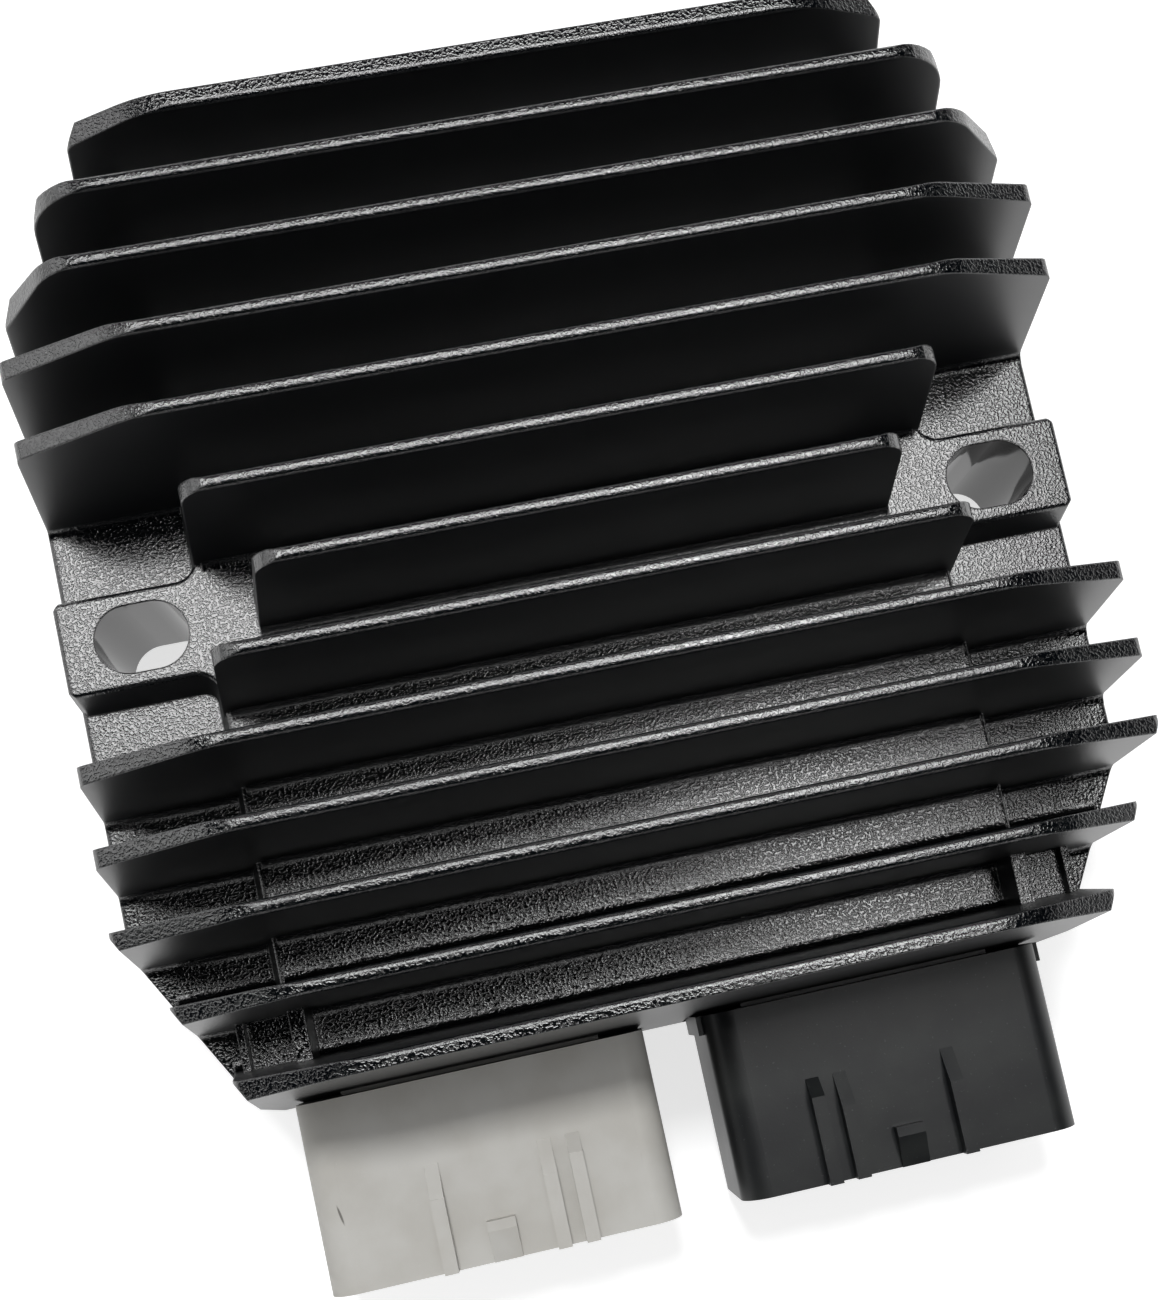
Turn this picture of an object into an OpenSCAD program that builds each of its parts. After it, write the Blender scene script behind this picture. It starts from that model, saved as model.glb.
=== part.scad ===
// Voltage regulator rectifier with a finned die-cast housing and two blade connectors
// Millimetres. Origin on the mounting face, midway between the two mounting slots.
// X runs along the fins, +Y points away from the connectors, +Z points up through the fins.

/* [Casting] */
// Width across the bolt ears
body_w = 106.8; // [100:0.2:114]
// Height from the mounting face to the fin tops
body_h = 35; // [32:0.5:42]
// Height of the side flanges
flange_h = 12.9; // [12:0.1:14]
// Height of the raised platform and of the bolt ears
platform_h = 17.1; // [16.2:0.1:19]
// Width of the platform at its top
platform_w = 76.8; // [74:0.2:80]
// How far the step at the platform edge spreads at its foot
step_spread = 1.1; // [0.4:0.1:1.6]
// Radius along the top edges of the platform, the ears and the flanges
edge_r = 0.5; // [0.2:0.1:0.8]
// Draft of the front and rear walls, in degrees
wall_draft = 4.6; // [3:0.1:5]
// Width that each front corner cut takes off one side
front_cut_w = 10.3; // [6:0.1:12]
// Length that each front corner cut takes off one side
front_cut_l = 18.9; // [14:0.1:22]
// Width that each rear corner cut takes off one side
rear_cut_w = 12.1; // [8:0.1:14]
// Length that each rear corner cut takes off one side
rear_cut_l = 20.8; // [16:0.1:24]

/* [Fins] */
// Distance from one fin to the next
fin_pitch = 7.8; // [7.4:0.05:8.2]
// Number of fins, an odd number so that one lies between the slots
fin_count = 13; // [13:2:15]
// Thickness of a fin at its top
fin_tip_t = 1.4; // [1:0.1:1.8]
// Draft of each fin side, in degrees
fin_draft = 2.6; // [1:0.1:3.2]
// Radius along the top edges of a fin
fin_edge_r = 0.55; // [0.2:0.05:0.6]
// Radius where a fin meets the floor
fin_root_r = 1; // [0.4:0.1:1.2]
// How much lower the first fin from the rear is
rear_drop_1 = 4.4; // [2:0.1:6]
// How much lower the second fin from the rear is
rear_drop_2 = 2.5; // [1:0.1:4]
// How much lower the third fin from the rear is
rear_drop_3 = 1.3; // [0:0.1:3]
// How far a fin end leans in from the flange to the fin tip
end_inset = 2.5; // [1:0.1:3]
// How far the foot of a fin end is set back from the edge of the flange
end_step = 0.15; // [0.1:0.05:0.4]
// Length of the sloped shoulder at the end of a long fin
shoulder_run = 12.1; // [8:0.1:14]
// Fall of the sloped shoulder at the end of a long fin
shoulder_fall = 4.6; // [2:0.1:6]
// Radius where the top of a fin turns down into its sloped shoulder
shoulder_turn_r = 15; // [4:0.5:18]
// Length of the sloped shoulder on the two front fins
front_run = 10; // [8:0.1:12]
// Length of the sloped shoulder on the first fin from the rear
rear_run_1 = 8.2; // [5:0.1:11]
// Fall of the sloped shoulder on the first fin from the rear
rear_fall_1 = 3.5; // [2:0.1:6]
// Radius at the outer corners of the second fin from the rear
rear_r_2 = 7; // [4:0.5:10]
// Length of the sloped shoulder on the third fin from the rear
rear_run_3 = 6.7; // [5:0.1:9]
// Fall of the sloped shoulder on the third fin from the rear
rear_fall_3 = 8.7; // [5:0.1:10]
// Radius at the top of that shoulder
rear_turn_r_3 = 6; // [2:0.5:7]
// Radius at the outer corners of the long fins
corner_r_long = 1.3; // [0.6:0.1:3]
// Radius at the outer corners of the three short fins
corner_r_short = 3.2; // [1:0.1:5]
// Length of the fin in line with the slots
middle_fin_w = 61.6; // [56:0.2:64]
// Length of the two fins beside the slots
side_fin_w = 72.2; // [68:0.2:73.6]

/* [Cross ribs of the front channel] */
// Height of the inner cross ribs above the platform
inner_rib_h = 4.4; // [2:0.1:8]
// Distance from the middle to the inner face of an inner rib
inner_rib_x = 36.1; // [30:0.1:36.5]
// Thickness of an inner rib
inner_rib_t = 1.6; // [1:0.1:2]
// Height of the outer cross ribs above the platform
outer_rib_h = 1.2; // [0.6:0.1:4]
// Distance from the middle to the inner face of an outer rib
outer_rib_x = 42.6; // [40.5:0.1:43]
// Thickness of an outer rib
outer_rib_t = 0.8; // [0.6:0.1:1.2]

/* [Mounting slots] */
// Distance between the middles of the two slots
slot_pitch = 90.3; // [89:0.1:91]
// Width of a slot, for the bolt
slot_w = 7; // [6:0.1:8]
// Overall length of a slot
slot_l = 9.5; // [8.6:0.1:10]
// Length of a bolt ear along the side of the housing
ear_l = 9.8; // [9.4:0.1:12]
// Metal left outside a slot at the end of an ear
ear_edge = 3.5; // [2.5:0.1:4.5]
// Bevel at the outer corners of an ear
ear_bevel = 0.7; // [0.3:0.1:1]
// Radius in the corner between an ear and the platform
ear_r = 2.5; // [2:0.1:3]

/* [Pocket on the underside] */
// Thickness of the walls round the pocket
pocket_wall = 4; // [3.4:0.1:4.6]
// Thickness of the roof over the pocket
pocket_roof = 3.8; // [3.2:0.1:4.2]
// Radius in the corners of the pocket
pocket_r = 3; // [1:0.5:4]
// Depth of the resin surface inside the mounting face
resin_recess = 0.8; // [0.4:0.1:1.2]
// Wall between a mounting slot and the pocket
slot_wall = 4.2; // [3.6:0.1:4.6]

/* [Connectors] */
// Gap between the two connector hoods
hood_spacing = 6.3; // [4.8:0.1:7.3]
// How far the pair of connectors lies to the right of the middle
conn_shift = -0.5; // [-1:0.1:1]
// Width of a connector hood
hood_w = 36.2; // [34:0.2:38]
// Height of the hood's underside above the mounting face
hood_z = 0.5; // [0.3:0.1:1]
// How far the hood's top lies below the top of the platform
hood_drop = 0.6; // [0.4:0.1:1.2]
// Reach of a hood from its seat in the housing wall
hood_l = 19.4; // [18:0.1:24]
// Depth of the seat that the foot of a hood has in the drafted wall
hood_seat = 0.6; // [0.3:0.1:1]
// Clearance round a hood and its neck in the housing wall
hood_gap = 0.15; // [0.1:0.05:0.3]
// Radius along the long edges of a hood
hood_r = 3; // [2:0.1:4]
// Wall thickness of a hood
hood_wall = 1.7; // [1.4:0.1:2]
// Thickness of the back wall of a hood
hood_back = 2.6; // [2:0.1:3.4]
// Reach of the neck behind the hood into the pocket
neck_l = 8; // [7:0.1:9]
// Plastic left round the blades in the neck, at their sides
neck_side = 0.9; // [0.6:0.1:1]
// Plastic left above and below the blades in the neck
neck_cover = 3.2; // [2:0.1:3.4]
// Width of a keying rib
key_w = 1.4; // [1:0.1:2]
// Height of a keying rib
key_h = 1.5; // [0.8:0.1:2]
// Length of a keying rib back from the mouth
key_l = 10.9; // [8:0.1:13]
// Length of the long ramps at the back of the keying ribs
key_ramp = 3.4; // [1:0.1:4]
// Length of the short ramp on the outermost keying rib
key_short_ramp = 1.9; // [1:0.1:4]
// Distance from the hood's middle to the single rib and to the nearer rib of the pair
key_x = 5.75; // [4:0.05:7]
// Distance between the two ribs of the pair
key_pair = 2.9; // [2.4:0.1:4]
// Width of the latch lug
lug_w = 2.9; // [2:0.1:4]
// Length of the latch lug
lug_l = 4.2; // [3:0.1:6]
// Height of the latch lug
lug_h = 1.3; // [0.8:0.1:2]
// Length of the flat crest of the latch lug
lug_crest = 1; // [0.5:0.1:1.5]
// Length of the side ears at the root of the black hood
root_ear_l = 2; // [1:0.1:3]
// How far those side ears stand out
root_ear_t = 0.6; // [0.3:0.1:0.8]

/* [Blades] */
// Width of a blade
blade_w = 6.3; // [5:0.1:7]
// Thickness of a blade
blade_t = 0.8; // [0.6:0.1:1.2]
// Distance between neighbouring blades
blade_pitch = 9.5; // [8.5:0.1:10]
// Distance from the mouth of the hood to the blade tip
blade_setback = 5; // [3:0.1:7]
// Length of the taper at the blade tip
blade_taper = 1; // [0.5:0.1:1.5]
// Reach of a blade behind the neck, to its upturned foot
blade_foot = 3; // [2:0.1:4]

/* [Power board and devices] */
// Thickness of the insulating sheet over the power board
sheet_t = 0.3; // [0.2:0.05:0.5]
// Thickness of the power board
board_t = 1.6; // [1.2:0.1:1.8]
// Gap between the power board and the walls and necks round it
board_gap = 0.6; // [0.4:0.1:1]
// Width of a power device
device_w = 14; // [12:0.5:16]
// Length of a power device
device_l = 18; // [14:0.5:19]
// Thickness of a power device
device_t = 3; // [2:0.1:3.4]
// Distance between neighbouring power devices across the board
device_pitch_x = 19; // [18:0.5:21]
// Distance between the two rows of power devices
device_pitch_y = 23; // [21:0.5:24]
// Distance from the middle of the housing to the middle of the two rows, towards the connectors
device_y = 8; // [6:0.5:10]
// Shank diameter of a board screw
screw_d = 3; // [2.5:0.1:3]
// Clearance all round a screw in the boards
screw_play = 0.2; // [0.1:0.05:0.4]
// Clearance all round a screw in the casting
thread_play = 0.05; // [0.02:0.01:0.1]
// Head diameter of a board screw
screw_head_d = 5.4; // [4.5:0.1:6]
// Head height of a board screw
screw_head_h = 1.8; // [1.2:0.1:2.4]
// Depth to which a screw goes into the roof of the pocket
screw_bite = 2.4; // [2:0.1:2.6]
// Distance from the sides of the board to a screw
screw_inset_x = 4; // [3.6:0.1:4.6]
// Distance from the ends of the board to a screw
screw_inset_y = 8; // [7:0.1:9]

/* [Control board] */
// Thickness of the control board
control_t = 1.2; // [1:0.1:1.6]
// Width of the control board
control_w = 46; // [40:0.5:50]
// Length of the control board
control_l = 18; // [16:0.5:19]
// Gap between the control board and the power devices next to it
control_clear = 3; // [2:0.1:4]
// Gap between the power board and the control board
control_gap = 4; // [3.4:0.1:4.4]
// Side of the square pins that carry the control board
pin_w = 0.8; // [0.6:0.1:1]
// Number of pins in each of the two rows
pin_count = 5; // [3:1:8]
// Distance from the edge of the control board to a row of pins
pin_inset = 1.5; // [1:0.1:2]
// Side of the control chip
chip_w = 7; // [5:0.5:9]
// Thickness of the control chip
chip_t = 1; // [0.8:0.1:1.2]
// Diameter of the filter capacitor
cap_d = 6.3; // [5:0.1:7]
// Length of the filter capacitor
cap_l = 11; // [8:0.5:13]
// Gap between the filter capacitor and the control board
cap_clear = 1; // [0.5:0.1:1.2]
// Width of a sense resistor
resistor_w = 3.2; // [2:0.1:4]
// Length of a sense resistor
resistor_l = 6.4; // [5:0.1:7]
// Thickness of a sense resistor
resistor_t = 0.9; // [0.6:0.1:1.1]
// Distance from the middle of the control chip to a sense resistor
resistor_x = 12; // [8:0.5:16]

/* [Hidden] */
$fn = 48;

// A little overlap with what a shape is joined to or cut from
bury = 1;

half_w = body_w / 2;
ear_half_w = slot_pitch / 2 + slot_l / 2 + ear_edge;
half_l = (fin_count - 1) / 2 * fin_pitch + fin_tip_t / 2 + body_h * tan(wall_draft);
middle_fin = (fin_count + 1) / 2;

function fin_y(i) = (middle_fin - i) * fin_pitch;
front_channel_y = (fin_y(fin_count - 1) + fin_y(fin_count)) / 2;
function fin_top(i) = body_h - (i == 1 ? rear_drop_1 : i == 2 ? rear_drop_2 : i == 3 ? rear_drop_3 : 0);

// Half width of the housing at y, with the corner cuts taken off
function edge_half(y) = min(half_w,
    half_w - front_cut_w * (1 - (half_l + y) / front_cut_l),
    half_w - rear_cut_w * (1 - (half_l - y) / rear_cut_l));

// Slope of the fin ends, measured along X; it is larger where a corner cut sets the end askew
end_lean = end_inset / (body_h - shoulder_fall - flange_h);
function is_short(i) = abs(i - middle_fin) <= 1;
function lean_of(i) = is_short(i) || edge_half(fin_y(i)) == half_w ? end_lean
    : fin_y(i) > 0 ? end_lean * norm([rear_cut_w, rear_cut_l]) / rear_cut_l
    : end_lean * norm([front_cut_w, front_cut_l]) / front_cut_l;

// Sloped shoulder of a fin
function run_of(i) = is_short(i) || i == 2 ? 0
    : i == 1 ? rear_run_1 : i == 3 ? rear_run_3 : i >= fin_count - 1 ? front_run : shoulder_run;
function fall_of(i) = is_short(i) || i == 2 ? 0
    : i == 1 ? rear_fall_1 : i == 3 ? rear_fall_3 : shoulder_fall;

// Half length of a fin at its outer top corner
function corner_half(i) = i == middle_fin ? middle_fin_w / 2
    : is_short(i) ? side_fin_w / 2
    : edge_half(fin_y(i) - sign(fin_y(i)) * fin_tip_t / 2) - end_step
        - lean_of(i) * (fin_top(i) - fall_of(i) - flange_h);
function corner_r(i) = i == 2 ? rear_r_2 : is_short(i) ? corner_r_short : corner_r_long;

// Right half of a fin's outline from the foot up to its level top, each corner [x, z, radius]
function fin_corners(i) =
    let (z = fin_top(i) - fall_of(i), x = corner_half(i), z0 = flange_h - bury)
    concat([[x + lean_of(i) * (z - z0), z0, 0], [x, z, corner_r(i)]],
        fall_of(i) > 0 ? [[x - run_of(i), fin_top(i), i == 3 ? rear_turn_r_3 : shoulder_turn_r]] : []);

// Points of a polygon whose corners are rounded; each corner is [x, y, radius]
function toward(a, b) = (b - a) / norm(b - a);
function wrap(a) = (a + 540) % 360 - 180;
function round_one(a, b, c, r, n) =
    let (u = toward(b, a), v = toward(b, c), half = acos(u * v) / 2,
        m = b + toward([0, 0], u + v) * r / sin(half),
        s = b + u * r / tan(half) - m,
        e = b + v * r / tan(half) - m,
        start = atan2(s[1], s[0]), turn = wrap(atan2(e[1], e[0]) - start))
    [for (k = [0 : n]) m + r * [cos(start + turn * k / n), sin(start + turn * k / n)]];
function xy(p) = [p[0], p[1]];
function rounded(pts) = let (c = len(pts))
    [for (k = [0 : c - 1])
        let (a = xy(pts[(k + c - 1) % c]), b = xy(pts[k]), d = xy(pts[(k + 1) % c]), r = pts[k][2])
        each (r > 0 ? round_one(a, b, d, r, r < 1 ? 4 : r < 4 ? 6 : 10) : [b])];

// The left half is the right half's mirror image, listed the other way round
function both_sides(right) = concat(right,
    [for (k = [len(right) - 1 : -1 : 0]) [-right[k][0], right[k][1], right[k][2]]]);

// Two points where a corner cut, moved in by w, meets the end and the side of the plan
function cut_points(cut_w, cut_l, w, r) =
    let (k = cut_l * (half_w - cut_w) + cut_w * half_l - w * norm([cut_w, cut_l]))
    [[(k - cut_w * (half_l - w)) / cut_l, half_l - w, r],
     [half_w - w, (k - cut_l * (half_w - w)) / cut_w, r]];

// Right half of the plan from the front to the rear, moved in by w
function plan_half(w, r) =
    let (f = cut_points(front_cut_w, front_cut_l, w, r), b = cut_points(rear_cut_w, rear_cut_l, w, r))
    [[f[0][0], -f[0][1], r], [f[1][0], -f[1][1], r], [b[1][0], b[1][1], r], [b[0][0], b[0][1], r]];

// Extrusions along X and along Y, centred on the origin
module along_x(l) { rotate([90, 0, 90]) linear_extrude(l, center = true) children(); }
module along_y(l) { rotate([90, 0, 0]) linear_extrude(l, center = true) children(); }

// Heights inside the pocket, measured from the mounting face
wing_roof_z = flange_h - pocket_roof;
deep_roof_z = platform_h - pocket_roof;
board_top_z = deep_roof_z - sheet_t;
board_z = board_top_z - board_t;
control_z = board_z - control_gap - control_t;

// Half sizes of the pocket
pocket_half_l = half_l - pocket_wall;
deep_half_w = platform_w / 2 + step_spread - pocket_wall;
ear_wall_x = slot_pitch / 2 - slot_l / 2 - slot_wall;
ear_wall_y = slot_w / 2 + slot_wall;

// Connector sizes and positions
hood_h = platform_h - hood_drop - hood_z;
conn_pitch = hood_w + hood_spacing;
seat_y = half_l - hood_seat;
mouth_y = seat_y + hood_l;
hood_mid_z = hood_z + hood_h / 2;
hood_top_z = hood_z + hood_h;
neck_end_y = seat_y - neck_l;
neck_w = 2 * blade_pitch + blade_w + 2 * neck_side;
neck_h = blade_t + 2 * neck_cover;
grey_x = conn_shift - conn_pitch / 2;
black_x = conn_shift + conn_pitch / 2;

// Power board, devices and control board
board_half_w = deep_half_w - board_gap;
board_front_y = neck_end_y - board_gap;
board_rear_y = pocket_half_l - board_gap;
control_y = device_pitch_y / 2 - device_y + device_l / 2 + control_clear + control_l / 2;
cap_y = control_y + control_l / 2 + cap_clear + cap_d / 2;

// Plan of the flange with its cut corners
module plan() { polygon([for (p = both_sides(plan_half(0, 0))) xy(p)]); }

// Room outside the corner cuts, leaning in above the flange as the fin ends do
module corner_room() {
    rise = body_h - flange_h + bury;
    for (s = [-1, 1], cut = [[front_cut_w, front_cut_l, -1], [rear_cut_w, rear_cut_l, 1]])
        scale([s, cut[2], 1]) translate([half_w - cut[0], half_l, flange_h])
            rotate(atan2(cut[0], cut[1])) along_y(2 * half_l) polygon([
                [end_lean * bury * 2 - end_step, -2 * bury], [half_w, -2 * bury], [half_w, rise],
                [-end_lean * rise - end_step, rise]]);
}

// Envelope of the casting: cut corners, drafted front and rear walls
module envelope() {
    top_l = half_l - body_h * tan(wall_draft);
    difference() {
        intersection() {
            linear_extrude(body_h) plan();
            along_x(body_w) polygon([[-half_l, 0], [half_l, 0], [top_l, body_h], [-top_l, body_h]]);
        }
        corner_room();
    }
}

// Flange with rounded side edges, and the platform on it
module base() {
    intersection() {
        linear_extrude(flange_h) plan();
        along_y(2 * half_l) polygon(rounded(both_sides([[half_w, 0, 0], [half_w, flange_h, edge_r]])));
    }
    along_y(2 * half_l) polygon(rounded(both_sides([
        [platform_w / 2 + step_spread, flange_h - bury, 0], [platform_w / 2 + step_spread, flange_h, 0],
        [platform_w / 2, platform_h, edge_r]])));
}

// Raised bar that carries both slots, with rounded inner corners at the platform
module ears() {
    slope = step_spread / (platform_h - flange_h);
    foot = ear_l / 2 + step_spread + bury * slope;
    difference() {
        intersection() {
            along_x(2 * ear_half_w) polygon(rounded(both_sides([
                [foot, 0, 0], [foot, flange_h - bury, 0], [ear_l / 2, platform_h, edge_r]])));
            along_y(3 * foot) polygon(rounded(both_sides([
                [ear_half_w, 0, 0], [ear_half_w, platform_h, edge_r]])));
        }
        for (sx = [-1, 1], sy = [-1, 1])
            scale([sx, sy, 1]) translate([ear_half_w, ear_l / 2, platform_h])
                rotate([atan(slope), 0, 0]) rotate(45) translate([ear_l / 2 - ear_bevel / sqrt(2), 0, 0])
                    cube([ear_l, ear_l / 2, platform_h], center = true);
    }
    for (sx = [-1, 1], sy = [-1, 1])
        scale([sx, sy, 1]) translate([platform_w / 2 + ear_r, ear_l / 2 + ear_r, 0]) difference() {
            translate([-ear_r - edge_r, -ear_r - edge_r, flange_h - bury / 2])
                cube([ear_r + edge_r, ear_r + edge_r, platform_h - flange_h + bury / 2]);
            rotate_extrude() polygon(rounded([
                [0, flange_h - bury, 0], [ear_r - step_spread - bury * slope, flange_h - bury, 0],
                [ear_r, platform_h, edge_r], [ear_r + body_h, platform_h, 0], [0, body_h, 0]]));
        }
}

// Section of a fin that stands on a floor at z, with root fillets and rounded top edges
module fin_section(z, top) {
    tip = fin_tip_t / 2;
    root = tip + (top - z) * tan(fin_draft);
    foot = root + fin_root_r;
    polygon(rounded(both_sides([
        [foot, z - bury, 0], [foot, z, 0], [root, z, fin_root_r * 0.99], [tip, top, fin_edge_r]])));
}

// Outline of a fin seen from the front, with leaning ends and shoulders
module fin_outline(i) { polygon(rounded(both_sides(fin_corners(i)))); }

module fin(i) {
    translate([0, fin_y(i), 0]) intersection() {
        union() {
            along_x(body_w) fin_section(flange_h, fin_top(i));
            along_x(platform_w - 2 * edge_r) fin_section(platform_h, fin_top(i));
        }
        along_y(2 * fin_pitch) fin_outline(i);
    }
}

// Outer side of the first and last fin, filled out to the drafted wall
module wall_fin(i) {
    out = sign(fin_y(i)) * fin_pitch / 2;
    intersection() {
        translate([0, fin_y(i) + out, (flange_h + fin_top(i)) / 2])
            cube([body_w, fin_pitch, fin_top(i) - flange_h + bury], center = true);
        along_y(4 * half_l) fin_outline(i);
    }
}

// Floor of the front channel, level with the platform as far as the outer ribs
module front_floor() {
    translate([0, front_channel_y, (platform_h + flange_h - bury) / 2])
        cube([2 * (outer_rib_x + outer_rib_t), fin_pitch, platform_h - flange_h + bury], center = true);
}

module cross_rib(x, t, h) {
    top = platform_h + h;
    lean = (top - flange_h) * tan(fin_draft);
    for (s = [-1, 1])
        scale([s, 1, 1]) translate([0, front_channel_y, 0]) along_y(fin_pitch) polygon([
            [x - lean, flange_h - bury], [x + t + lean, flange_h - bury], [x + t, top], [x, top]]);
}

module slot_shape() {
    square([slot_l - slot_w, slot_w], center = true);
    for (s = [-1, 1])
        translate([s * (slot_l - slot_w) / 2, 0]) circle(slot_w / 2);
}

// Hollow of the underside: wide and shallow, and deeper under the platform and over the blade feet
module pocket(z0 = 0) {
    shallow = wing_roof_z - z0;
    translate([0, 0, z0]) linear_extrude(shallow) difference() {
        polygon(rounded(both_sides(plan_half(pocket_wall, pocket_r))));
        for (s = [-1, 1])
            translate([s * (ear_wall_x + half_w / 2), 0]) square([half_w, 2 * ear_wall_y], center = true);
    }
    translate([0, 0, z0]) linear_extrude(deep_roof_z - z0) {
        polygon(rounded(both_sides([
            [deep_half_w, -pocket_half_l, pocket_r], [deep_half_w, pocket_half_l, pocket_r]])));
        for (x = [grey_x, black_x])
            translate([x - neck_w / 2, -neck_end_y]) square([neck_w, blade_foot + board_gap]);
    }
}

// Room for a hood's foot and for its neck in the front wall
module connector_cut(x) {
    room_w = hood_w + 2 * (root_ear_t + hood_gap);
    translate([x, -seat_y - hood_l / 2, hood_mid_z])
        cube([room_w, hood_l, hood_h + 2 * hood_gap], center = true);
    translate([x, -seat_y - bury / 2 + neck_l / 2, hood_mid_z])
        cube([neck_w + 2 * hood_gap, neck_l + bury + 2 * hood_gap, neck_h + 2 * hood_gap], center = true);
}

module at_screws() {
    for (s = [-1, 1], y = [-board_front_y + screw_inset_y, board_rear_y - screw_inset_y])
        translate([s * (board_half_w - screw_inset_x), y, 0]) children();
}

// Casting before its hollows are taken out
module outside() {
    intersection() {
        union() {
            base();
            for (i = [1 : fin_count]) fin(i);
            wall_fin(1);
            wall_fin(fin_count);
            front_floor();
            cross_rib(inner_rib_x, inner_rib_t, inner_rib_h);
            cross_rib(outer_rib_x, outer_rib_t, outer_rib_h);
        }
        envelope();
    }
    ears();
}

module heat_sink_casting() {
    color([0.08, 0.08, 0.09]) difference() {
        outside();
        for (s = [-1, 1])
            translate([s * slot_pitch / 2, 0, -bury])
                linear_extrude(platform_h + 2 * bury) slot_shape();
        pocket(-bury);
        connector_cut(grey_x);
        connector_cut(black_x);
        at_screws() translate([0, 0, deep_roof_z - bury])
            cylinder(h = bury + screw_bite + thread_play, r = screw_d / 2 + thread_play);
    }
}

// Rounded rectangle in the XZ plane of a hood
module hood_shape(w, h, r) {
    square([w - 2 * r, h], center = true);
    square([w, h - 2 * r], center = true);
    for (sx = [-1, 1], sz = [-1, 1])
        translate([sx * (w / 2 - r), sz * (h / 2 - r)]) circle(r);
}

module key(x, ramp) {
    translate([x, -mouth_y, hood_top_z]) along_x(key_w) polygon([
        [0, -hood_wall / 2], [0, key_h], [key_l - ramp, key_h], [key_l, 0], [key_l, -hood_wall / 2]]);
}

module latch_lug() {
    translate([0, -mouth_y, hood_top_z]) along_x(lug_w) polygon([
        [0, -hood_wall / 2], [0, lug_h / 4], [lug_l - lug_crest, lug_h], [lug_l, lug_h],
        [lug_l, -hood_wall / 2]]);
}

// Hood with its neck; side is 1 for the grey one and -1 for the mirrored black one
module connector_housing(x, side, ear, blades) {
    translate([x, 0, 0]) difference() {
        union() {
            translate([0, -seat_y - hood_l / 2, hood_mid_z]) difference() {
                along_y(hood_l) hood_shape(hood_w, hood_h, hood_r);
                translate([0, -hood_back, 0])
                    along_y(hood_l) hood_shape(hood_w - 2 * hood_wall, hood_h - 2 * hood_wall,
                        hood_r - hood_wall);
            }
            translate([0, -seat_y + neck_l / 2 - bury / 2, hood_mid_z])
                cube([neck_w, neck_l + bury, neck_h], center = true);
            key(-side * key_x, key_ramp);
            key(side * key_x, key_ramp);
            key(side * (key_x + key_pair), key_short_ramp);
            latch_lug();
            if (ear > 0)
                translate([0, -seat_y - root_ear_l / 2, hood_mid_z])
                    difference() {
                        cube([hood_w + 2 * ear, root_ear_l, hood_h - 2 * hood_r], center = true);
                        cube([hood_w - hood_wall, root_ear_l + 2 * bury, hood_h], center = true);
                    }
        }
        for (b = blades) blade(b * blade_pitch);
    }
}

// Flat blade with a tapered tip and an upturned foot on the power board
module blade(x) {
    tip = -mouth_y + blade_setback;
    foot = -neck_end_y + blade_foot;
    z = hood_mid_z;
    t = blade_t / 2;
    translate([x, 0, 0]) along_x(blade_w) polygon([
        [tip, z - t / 2], [tip + blade_taper, z - t], [foot, z - t], [foot, board_z],
        [foot - blade_t, board_z], [foot - blade_t, z + t], [tip + blade_taper, z + t],
        [tip, z + t / 2]]);
}

module grey_connector_housing() {
    color([0.72, 0.71, 0.69]) connector_housing(grey_x, 1, 0, [-1, 1]);
}

module black_connector_housing() {
    color([0.11, 0.12, 0.12]) connector_housing(black_x, -1, root_ear_t, [-1, 0, 1]);
}

module terminal(x) {
    color([0.8, 0.78, 0.74]) blade(x);
}

module grey_terminal_left() { terminal(grey_x - blade_pitch); }
module grey_terminal_right() { terminal(grey_x + blade_pitch); }
module black_terminal_left() { terminal(black_x - blade_pitch); }
module black_terminal_middle() { terminal(black_x); }
module black_terminal_right() { terminal(black_x + blade_pitch); }

// Plate over the whole roof of the deep pocket, with a hole for each screw
module board_plate(z, t) {
    difference() {
        translate([-board_half_w, -board_front_y, z])
            cube([2 * board_half_w, board_front_y + board_rear_y, t]);
        at_screws() translate([0, 0, z - bury])
            cylinder(h = t + 2 * bury, r = screw_d / 2 + screw_play);
    }
}

module insulating_sheet() {
    color([0.75, 0.45, 0.3]) board_plate(board_top_z, sheet_t);
}

module power_board() {
    color([0.12, 0.35, 0.2]) board_plate(board_z, board_t);
}

module board_screws() {
    color([0.7, 0.7, 0.72]) at_screws() {
        translate([0, 0, board_z - screw_head_h]) cylinder(h = screw_head_h, r = screw_head_d / 2);
        translate([0, 0, board_z - bury / 2])
            cylinder(h = bury / 2 + board_t + sheet_t + screw_bite, r = screw_d / 2);
    }
}

// Power device number n in its row; row is -1 near the connectors and 1 near the control board
module power_device(n, row) {
    color([0.15, 0.15, 0.16])
        translate([(n - 2) * device_pitch_x - device_w / 2,
            row * device_pitch_y / 2 - device_y - device_l / 2, board_z - device_t])
            cube([device_w, device_l, device_t]);
}

module thyristor_1() { power_device(1, -1); }
module thyristor_2() { power_device(2, -1); }
module thyristor_3() { power_device(3, -1); }
module diode_1() { power_device(1, 1); }
module diode_2() { power_device(2, 1); }
module diode_3() { power_device(3, 1); }

module control_board() {
    color([0.1, 0.3, 0.45]) translate([-control_w / 2, control_y - control_l / 2, control_z])
        cube([control_w, control_l, control_t]);
}

module board_pins() {
    span = control_w - 4 * pin_inset;
    color([0.8, 0.7, 0.4])
        for (k = [0 : pin_count - 1], s = [-1, 1])
            translate([span * (k / (pin_count - 1) - 1 / 2),
                control_y + s * (control_l / 2 - pin_inset), board_z - control_gap / 2])
                cube([pin_w, pin_w, control_gap], center = true);
}

module control_chip() {
    color([0.1, 0.1, 0.1]) translate([-chip_w / 2, control_y - chip_w / 2, control_z - chip_t])
        cube([chip_w, chip_w, chip_t]);
}

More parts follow.
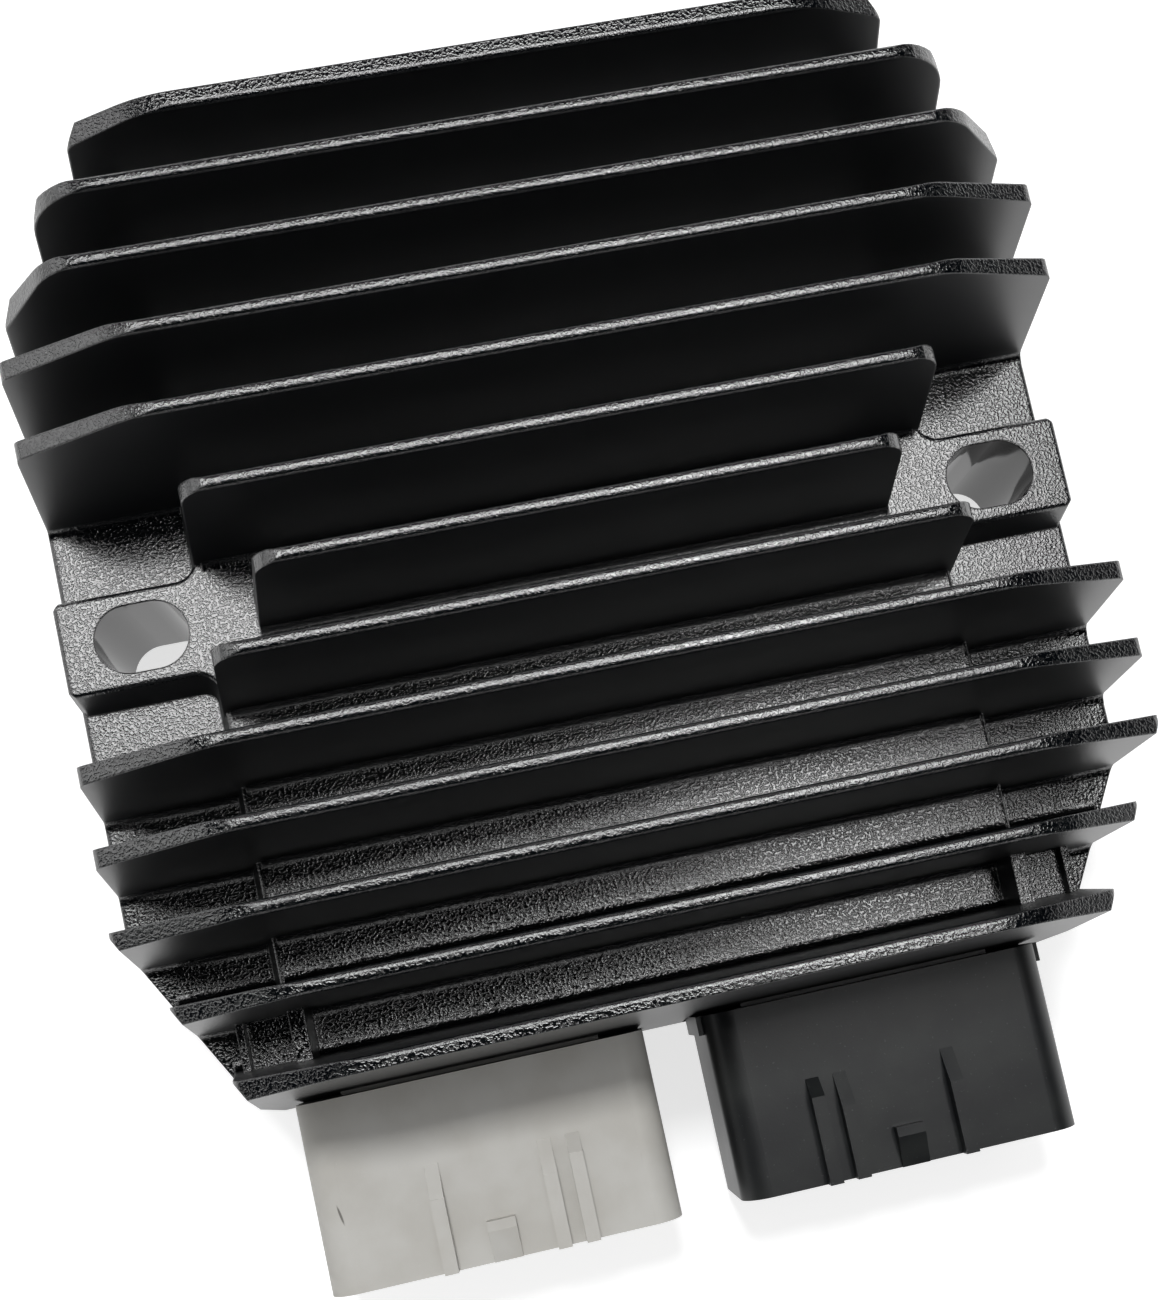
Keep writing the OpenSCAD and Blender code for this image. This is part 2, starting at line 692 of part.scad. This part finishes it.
module sense_resistors() {
    color([0.2, 0.2, 0.2])
        for (s = [-1, 1])
            translate([s * resistor_x - resistor_w / 2, control_y - resistor_l / 2,
                control_z - resistor_t])
                cube([resistor_w, resistor_l, resistor_t]);
}

module filter_capacitor() {
    color([0.25, 0.28, 0.35]) translate([-cap_l / 2, cap_y, board_z - cap_d / 2])
        rotate([0, 90, 0]) cylinder(h = cap_l, r = cap_d / 2);
}

// Resin that fills the pocket round everything in it
module potting_compound() {
    color([0.05, 0.05, 0.05]) difference() {
        pocket(resin_recess);
        for (x = [grey_x, black_x])
            translate([x, -seat_y + neck_l / 2, hood_mid_z]) cube([neck_w, neck_l, neck_h], center = true);
        for (x = [grey_x - blade_pitch, grey_x + blade_pitch]) blade(x);
        for (n = [-1 : 1]) blade(black_x + n * blade_pitch);
        translate([-board_half_w, -board_front_y, board_z])
            cube([2 * board_half_w, board_front_y + board_rear_y, board_t + sheet_t + bury]);
        board_screws();
        for (n = [1 : 3], row = [-1, 1]) power_device(n, row);
        control_board();
        board_pins();
        control_chip();
        sense_resistors();
        filter_capacitor();
    }
}

heat_sink_casting();
grey_connector_housing();
black_connector_housing();
grey_terminal_left();
grey_terminal_right();
black_terminal_left();
black_terminal_middle();
black_terminal_right();
insulating_sheet();
power_board();
board_screws();
thyristor_1();
thyristor_2();
thyristor_3();
diode_1();
diode_2();
diode_3();
control_board();
board_pins();
control_chip();
sense_resistors();
filter_capacitor();
potting_compound();
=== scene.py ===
from math import pi

import bmesh
import bpy
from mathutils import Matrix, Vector

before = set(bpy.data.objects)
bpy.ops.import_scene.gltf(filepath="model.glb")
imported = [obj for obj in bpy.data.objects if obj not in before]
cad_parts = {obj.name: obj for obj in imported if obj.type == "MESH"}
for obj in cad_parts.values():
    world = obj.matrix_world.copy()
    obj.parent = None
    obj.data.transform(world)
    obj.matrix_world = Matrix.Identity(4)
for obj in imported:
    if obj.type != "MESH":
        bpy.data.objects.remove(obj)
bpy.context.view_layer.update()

# Camera
# A close view from above the connector end, a little to the left of the middle.
# The lens looks almost straight down, so each fin shows its top and its front side.
MM = 0.001
camera_place = Vector((-15.788, -45.181, 172.862)) * MM
camera_turn = (0.0702, -0.0917, -0.2089)
camera_lens = 42.383
camera_sensor = 36
camera_shift = (-0.04196, 0.17433)
camera_nearest = 1 * MM
camera_farthest = 20

camera_data = bpy.data.cameras.new("camera")
camera_data.sensor_width = camera_sensor
camera_data.lens = camera_lens
camera_data.shift_x, camera_data.shift_y = camera_shift
camera_data.clip_start = camera_nearest
camera_data.clip_end = camera_farthest
camera = bpy.data.objects.new("camera", camera_data)
camera.location = camera_place
camera.rotation_mode = "ZYX"
camera.rotation_euler = camera_turn
bpy.context.scene.collection.objects.link(camera)
bpy.context.scene.camera = camera
bpy.context.scene.view_settings.view_transform = "Standard"

# Floor, background and light
# A plain white table just under the mounting face, clear from below, in a room that is white to the camera.
# The paint mirrors a dark ceiling and three softboxes: a wide one overhead, a smaller one in front of it on
# the right and a weak one on the left, for the fin shoulders. A lamp behind throws the soft shadows.
table_size = 6
table_gap = 0.02 * MM
table_white = 0.6
table_roughness = 0.9
table_glow = 0.7
room_white = (1, 1, 1)
room_fill = 0.42
ceiling_edge = (0.14, 0.42)
softbox_size = (1.35, 0.53)
softbox_place = (0.03, 0.495, 1.5)
front_box_size = (0.66, 0.19)
front_box_place = (0.33, 0.135, 1.5)
softbox_radiance = 6.3
side_box_size = (0.9, 0.9)
side_box_place = (-1.3, 0.6, 1.0)
side_box_radiance = 1.6
back_lamp_size = (0.26, 0.26)
back_lamp_place = (-0.10, 0.62, 1.5)
back_lamp_watts = 15


class Value:
    """A shader socket that is written as a value in an expression."""

    def __init__(self, tree, socket):
        self.tree = tree
        self.socket = socket

    def maths(self, operation, *inputs):
        return add_node(self.tree, "ShaderNodeMath", 0, {"operation": operation}, dict(enumerate(inputs)))

    def __add__(self, other):
        return self.maths("ADD", self, other)

    def __radd__(self, other):
        return self.maths("ADD", other, self)

    def __sub__(self, other):
        return self.maths("SUBTRACT", self, other)

    def __rsub__(self, other):
        return self.maths("SUBTRACT", other, self)

    def __mul__(self, other):
        return self.maths("MULTIPLY", self, other)

    def __rmul__(self, other):
        return self.maths("MULTIPLY", other, self)

    def __pow__(self, other):
        return self.maths("POWER", self, other)

    def __rpow__(self, other):
        return self.maths("POWER", other, self)

    def __abs__(self):
        return self.maths("ABSOLUTE", self)

    def at_least(self, other):
        return self.maths("MAXIMUM", self, other)

    def between(self, low, high):
        """0 below low, 1 above high and smooth in the middle."""
        return add_node(self.tree, "ShaderNodeMapRange", "Result", {"interpolation_type": "SMOOTHSTEP"},
                        {"Value": self, "From Min": low, "From Max": high})


def feed(tree, socket, given):
    """Links a value to a socket, or sets a plain number or colour on it."""
    if isinstance(given, Value):
        tree.links.new(given.socket, socket)
    elif isinstance(given, tuple):
        socket.default_value = (*given, 1) if len(socket.default_value) > len(given) else given
    else:
        socket.default_value = given


def add_node(tree, kind, output, settings, sockets):
    """Adds a node of a kind, with its settings first and then what its sockets get."""
    made = tree.nodes.new(kind)
    for setting, given in settings.items():
        setattr(made, setting, given)
    for socket, given in sockets.items():
        feed(tree, made.inputs[socket], given)
    return Value(tree, made.outputs[output])


class Shading:
    """A node tree and the ways to add to it."""

    def __init__(self, tree):
        self.tree = tree

    def node(self, kind, output=0, settings=None, **sockets):
        named = {socket.replace("_", " "): given for socket, given in sockets.items()}
        return add_node(self.tree, kind, output, settings or {}, named)

    def place(self):
        return self.node("ShaderNodeTexCoord", "Object")

    def along(self, axis, vector):
        return self.node("ShaderNodeSeparateXYZ", axis, Vector=vector)

    def ray(self, kind):
        return self.node("ShaderNodeLightPath", "Is " + kind + " Ray")

    def noise(self, size, detail=2, at=None):
        """Noise whose grains are about size metres across."""
        return self.node("ShaderNodeTexNoise", Vector=at or self.place(), Scale=1 / size, Detail=detail)

    def blend(self, factor, first, second):
        """The first colour where the factor is 0, and the second where it is 1."""
        return add_node(self.tree, "ShaderNodeMix", 2, {"data_type": "RGBA"},
                        {0: factor, 6: first, 7: second})


class Finish(Shading):
    """A material with one shader."""

    def __init__(self, name, **constants):
        self.material = bpy.data.materials.new(name)
        self.material.use_nodes = True
        super().__init__(self.material.node_tree)
        self.shader = self.tree.nodes["Principled BSDF"]
        for socket, given in constants.items():
            self.set(socket.replace("_", " "), given)

    def set(self, socket, given):
        feed(self.tree, self.shader.inputs[socket], given)

    def bump(self, height, depth, **under):
        """Relief of a depth in metres, on the surface's own normal or on another one under it."""
        self.set("Normal", self.node("ShaderNodeBump", Height=height, Distance=depth, **under))


table_mesh = bpy.data.meshes.new("table")
build = bmesh.new()
bmesh.ops.create_grid(build, x_segments=1, y_segments=1, size=table_size / 2)
bmesh.ops.translate(build, vec=(0, 0, -table_gap), verts=build.verts)
build.to_mesh(table_mesh)
build.free()
table = bpy.data.objects.new("table", table_mesh)
bpy.context.scene.collection.objects.link(table)

table_finish = Finish("table_white", Base_Color=(table_white,) * 3, Roughness=table_roughness,
                      Specular_IOR_Level=0, Emission_Strength=1)
shown = table_finish.ray("Camera") + table_finish.ray("Glossy") + table_finish.ray("Transmission")
table_finish.set("Emission Color", table_finish.blend(shown, (0, 0, 0), (table_glow,) * 3))
table_finish.set("Alpha", 1 - table_finish.node("ShaderNodeNewGeometry", "Backfacing"))
table_mesh.materials.append(table_finish.material)

world = bpy.data.worlds.new("room")
bpy.context.scene.world = world
world.use_nodes = True
room = Shading(world.node_tree)
height = room.along("Z", room.node("ShaderNodeTexCoord", "Generated"))
below_ceiling = 1 - height.between(*ceiling_edge)
clear = room.ray("Camera") + room.ray("Transmission")
mirrored = room.ray("Glossy")
backdrop = room.tree.nodes["Background"]
feed(room.tree, backdrop.inputs["Color"], room_white)
feed(room.tree, backdrop.inputs["Strength"],
     clear * (1 - room_fill) + mirrored * (below_ceiling - room_fill) + room_fill)


def lamp(name, size, place, watts):
    """A rectangular lamp that looks at the middle of the part."""
    data = bpy.data.lights.new(name, "AREA")
    data.shape = "RECTANGLE"
    data.size, data.size_y = size
    data.energy = watts
    made = bpy.data.objects.new(name, data)
    made.location = place
    made.rotation_euler = Vector(place).to_track_quat("Z", "Y").to_euler()
    bpy.context.scene.collection.objects.link(made)
    return made


for name, size, place, radiance in (
    ("softbox", softbox_size, softbox_place, softbox_radiance),
    ("front_box", front_box_size, front_box_place, softbox_radiance),
    ("side_box", side_box_size, side_box_place, side_box_radiance),
):
    softbox = lamp(name, size, place, radiance * pi * size[0] * size[1])
    softbox.visible_diffuse = False
back_lamp = lamp("back_lamp", back_lamp_size, back_lamp_place, back_lamp_watts)
back_lamp.visible_glossy = False

# Heat sink casting
# One die casting of aluminium alloy: the mounting flange with its two ears, the platform, thirteen fins and
# the pocket underneath. Its black paint dries to a fine orange peel on the faces that look up or down, and
# smooth and matt on the upright ones. The walls of the two slots are masked and keep a thin, glossy coat.
paint_black = (0.0012, 0.0018, 0.0028)
paint_grey = (0.003, 0.0038, 0.005)
paint_cloud_size = 2.5 * MM
paint_cloud_edge = (0.35, 0.7)
paint_ior = 1.6
paint_specular = 1.0
paint_roughness = 0.10
peel_size = 0.30 * MM
peel_edge = (0.36, 0.60)
peel_depth = 0.018 * MM
peel_fine_size = 0.10 * MM
peel_fine_share = 0.35
pit_roughness = 0.15
upright_to_flat = (0.1, 0.6)
upright_roughness = 0.30
rounding = 0.3 * MM
rounding_samples = 6
slot_pitch = 90.3 * MM
slot_width = 7 * MM
slot_length = 9.5 * MM
masking_edge = 0.1 * MM

paint = Finish("black_paint", Metallic=0, IOR=paint_ior, Specular_IOR_Level=paint_specular)
cloud = paint.noise(paint_cloud_size, detail=3).between(*paint_cloud_edge)
peel = paint.noise(peel_size, detail=1).between(*peel_edge)
fine = paint.noise(peel_fine_size, detail=1)
here = paint.place()
from_slot_middle = abs(abs(paint.along("X", here)) - slot_pitch / 2)
past_straight = (from_slot_middle - (slot_length - slot_width) / 2).at_least(0)
from_slot = (past_straight ** 2 + paint.along("Y", here) ** 2) ** 0.5
upward = abs(paint.along("Z", paint.node("ShaderNodeTexCoord", "Normal")))
sprayed = from_slot.between(slot_width / 2, slot_width / 2 + masking_edge)
flat = upward.between(*upright_to_flat)
grain = (1 - peel) * flat * pit_roughness + (1 - flat) * upright_roughness
rounded = paint.node("ShaderNodeBevel", settings={"samples": rounding_samples}, Radius=rounding)
paint.set("Base Color", paint.blend(cloud, paint_black, paint_grey))
paint.set("Roughness", sprayed * grain + paint_roughness)
paint.bump((peel + fine * peel_fine_share) * sprayed * flat, peel_depth, Normal=rounded)


def dress(node, finish):
    """Gives a CAD node its finish in place of the plain one."""
    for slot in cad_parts[node].material_slots:
        slot.material = finish.material


dress("heat_sink_casting", paint)

# Connector housings
# Two moulded nylon hoods, light grey and black, pushed into the front wall and sealed by the resin.
# Their matt skin is slightly mottled, with a few specks of dust and one short scratch on the grey one.
grey_skin = (0.50, 0.485, 0.45)
grey_skin_light = (0.56, 0.55, 0.52)
grey_roughness = 0.5
black_skin = (0.004, 0.005, 0.0065)
black_skin_light = (0.014, 0.016, 0.0155)
black_roughness = 0.36
mottle_size = 6 * MM
mottle_edge = (0.3, 0.7)
mottle_roughness = 0.1
skin_size = 0.25 * MM
skin_depth = 0.006 * MM
dust_white = (1, 1, 1)
dust_size = 0.35 * MM
dust_edge = (0.70, 0.78)
dust_amount = 0.03
scratch_x = -37.2 * MM
scratch_y = -61.2 * MM
scratch_slant = 0.19
scratch_half_width = 0.16 * MM
scratch_stretch = 0.13
scratch_above = 12 * MM
scratch_fade = 1 * MM
scratch_grey = (0.17, 0.16, 0.145)

for shade, dark, light, roughness in (
    ("grey", grey_skin, grey_skin_light, grey_roughness),
    ("black", black_skin, black_skin_light, black_roughness),
):
    plastic = Finish(shade + "_plastic", Metallic=0)
    mottle = plastic.noise(mottle_size, detail=4)
    dust = plastic.noise(dust_size, detail=1).between(*dust_edge)
    skin = plastic.blend(mottle.between(*mottle_edge), dark, light)
    skin = plastic.blend(dust * dust_amount, skin, dust_white)
    if shade == "grey":
        spot = plastic.place()
        down = plastic.along("Y", spot) - scratch_y
        across = plastic.along("X", spot) - scratch_x + down * scratch_slant
        from_scratch = (across ** 2 + (down * scratch_stretch) ** 2) ** 0.5
        scratched = 1 - from_scratch.between(scratch_half_width / 2, scratch_half_width)
        on_top = plastic.along("Z", spot).between(scratch_above, scratch_above + scratch_fade)
        skin = plastic.blend(scratched * on_top, skin, scratch_grey)
    plastic.set("Base Color", skin)
    plastic.set("Roughness", mottle * mottle_roughness + roughness)
    plastic.bump(plastic.noise(skin_size, detail=3), skin_depth)
    dress(shade + "_connector_housing", plastic)

# Blades
# Five flat tabs of tinned brass, moulded into the necks of the hoods.
# The tin is dull and shows the drawing lines along each blade.
tin_colour = (0.74, 0.72, 0.68)
tin_roughness = 0.25
tin_roughness_spread = 0.2
tin_patch_size = 0.15 * MM
drawing_stretch = (1, 0.05, 1)
drawing_line_size = 0.1 * MM
drawing_line_depth = 0.004 * MM


def vary_roughness(finish, size, least, spread, at=None):
    """Roughness between least and least + spread, in patches of a size in metres."""
    finish.set("Roughness", finish.noise(size, at=at) * spread + least)


tin = Finish("tinned_brass", Base_Color=tin_colour, Metallic=1)
drawn = tin.node("ShaderNodeMapping", Vector=tin.place(), Scale=drawing_stretch)
vary_roughness(tin, tin_patch_size, tin_roughness, tin_roughness_spread, at=drawn)
tin.bump(tin.noise(drawing_line_size, at=drawn), drawing_line_depth)
for blade in ("grey_terminal_left", "grey_terminal_right", "black_terminal_left",
              "black_terminal_middle", "black_terminal_right"):
    dress(blade, tin)

# Potting compound
# Black two-part resin, poured into the pocket until it nearly reaches the mounting face.
# It sets glossy, with a slow ripple where it flowed.
resin_black = (0.012, 0.012, 0.013)
resin_roughness = 0.12
resin_roughness_spread = 0.2
resin_patch_size = 9 * MM
ripple_size = 7 * MM
ripple_depth = 0.25 * MM

resin = Finish("potting_resin", Base_Color=resin_black, Metallic=0)
vary_roughness(resin, resin_patch_size, resin_roughness, resin_roughness_spread)
resin.bump(resin.noise(ripple_size, detail=3), ripple_depth)
dress("potting_compound", resin)

# Insulating sheet and boards
# A power board on a thin sheet of filled silicone, held by four screws, and a small control board that
# stands off it on pins. Both are glass laminate under a solder mask, green and blue. The resin covers them.
sheet_pink = (0.42, 0.22, 0.12)
sheet_pink_light = (0.5, 0.28, 0.16)
sheet_roughness = 0.8
sheet_grain_size = 1 * MM
green_mask = (0.010, 0.075, 0.03)
green_mask_light = (0.016, 0.11, 0.045)
blue_mask = (0.008, 0.035, 0.10)
blue_mask_light = (0.014, 0.055, 0.15)
mask_roughness = 0.35
weave_size = 1.2 * MM
weave_depth = 0.01 * MM

thermal_pad = Finish("thermal_pad", Roughness=sheet_roughness)
sheet_grain = thermal_pad.noise(sheet_grain_size)
thermal_pad.set("Base Color", thermal_pad.blend(sheet_grain, sheet_pink, sheet_pink_light))
dress("insulating_sheet", thermal_pad)

for board, dark, light in (
    ("power_board", green_mask, green_mask_light),
    ("control_board", blue_mask, blue_mask_light),
):
    laminate = Finish(board + "_mask", Roughness=mask_roughness)
    weave = laminate.noise(weave_size)
    laminate.set("Base Color", laminate.blend(weave, dark, light))
    laminate.bump(weave, weave_depth)
    dress(board, laminate)

# Screws, pins and what the boards carry
# Four steel screws, brass pins, and a capacitor in an aluminium can. The six power devices in two rows, the
# chip and the resistors are moulded in black epoxy.
steel_grey = (0.55, 0.55, 0.56)
brass_yellow = (0.72, 0.55, 0.26)
can_grey = (0.6, 0.62, 0.66)
small_metal_patch_size = 0.5 * MM
small_metal_roughness = 0.25
small_metal_roughness_spread = 0.2
can_patch_size = 2 * MM
can_roughness = 0.3
can_roughness_spread = 0.15
epoxy_black = (0.02, 0.02, 0.021)
epoxy_patch_size = 0.4 * MM
epoxy_roughness = 0.5
epoxy_roughness_spread = 0.2
epoxy_grain_size = 0.2 * MM
epoxy_grain_depth = 0.01 * MM

for piece, alloy, colour, patch_size, least, spread in (
    ("board_screws", "screw_steel", steel_grey, small_metal_patch_size,
     small_metal_roughness, small_metal_roughness_spread),
    ("board_pins", "pin_brass", brass_yellow, small_metal_patch_size,
     small_metal_roughness, small_metal_roughness_spread),
    ("filter_capacitor", "can_aluminium", can_grey, can_patch_size,
     can_roughness, can_roughness_spread),
):
    metal = Finish(alloy, Base_Color=colour, Metallic=1)
    vary_roughness(metal, patch_size, least, spread)
    dress(piece, metal)

epoxy = Finish("device_black", Base_Color=epoxy_black)
vary_roughness(epoxy, epoxy_patch_size, epoxy_roughness, epoxy_roughness_spread)
epoxy.bump(epoxy.noise(epoxy_grain_size), epoxy_grain_depth)
for device in ("thyristor_1", "thyristor_2", "thyristor_3", "diode_1", "diode_2", "diode_3",
               "control_chip", "sense_resistors"):
    dress(device, epoxy)
